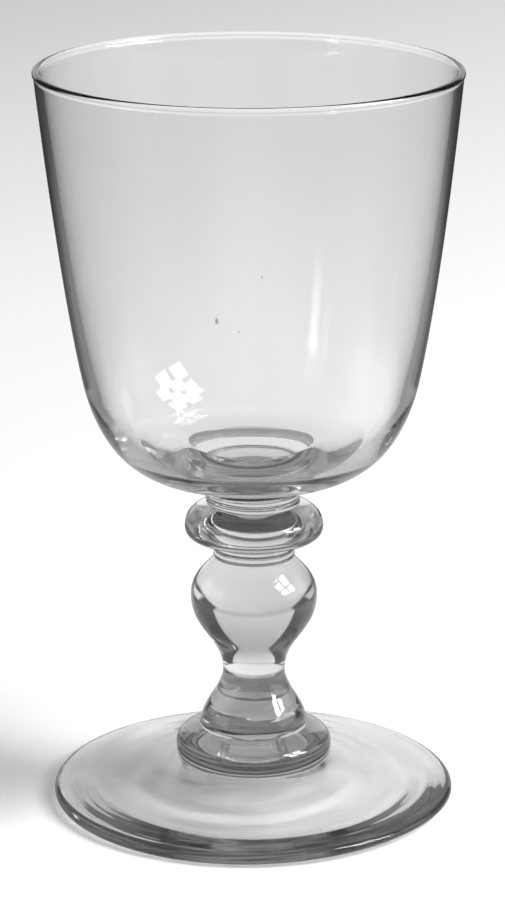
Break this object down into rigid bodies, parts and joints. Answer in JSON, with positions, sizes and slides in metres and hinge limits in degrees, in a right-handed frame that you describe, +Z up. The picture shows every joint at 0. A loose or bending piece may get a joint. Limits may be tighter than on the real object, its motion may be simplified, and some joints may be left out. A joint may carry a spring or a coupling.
{
  "type": "water goblet",
  "caption": "Clear glass water goblet: bucket bowl on a merese and ring knop, inverted baluster stem, thick disc and low conical foot with a pontil scar underneath.",
  "frame": {"origin": "on the goblet's axis, in the plane that the foot stands on", "axes": "+Z up along the stem, from the foot to the rim; X and Y are free, because the goblet is round"},
  "size_m": [0.0868, 0.0868, 0.155],
  "materials": {
    "bowl_glass": "polished, thin clear soda glass with faint seeds and striae",
    "stem_glass": "polished, solid clear glass with faint tooling rings",
    "foot_glass": "polished clear glass, finely scratched where it stands",
    "broken_glass": "rough broken glass"
  },
  "bodies": {
    "root": {"foot": "foot_glass", "pontil_scar": "broken_glass", "basal_disc": "stem_glass", "stem_base": "stem_glass", "baluster": "stem_glass", "lower_collar": "stem_glass", "ring_knop": "stem_glass", "upper_merese": "stem_glass", "bowl": "bowl_glass"}
  },
  "joints": []
}
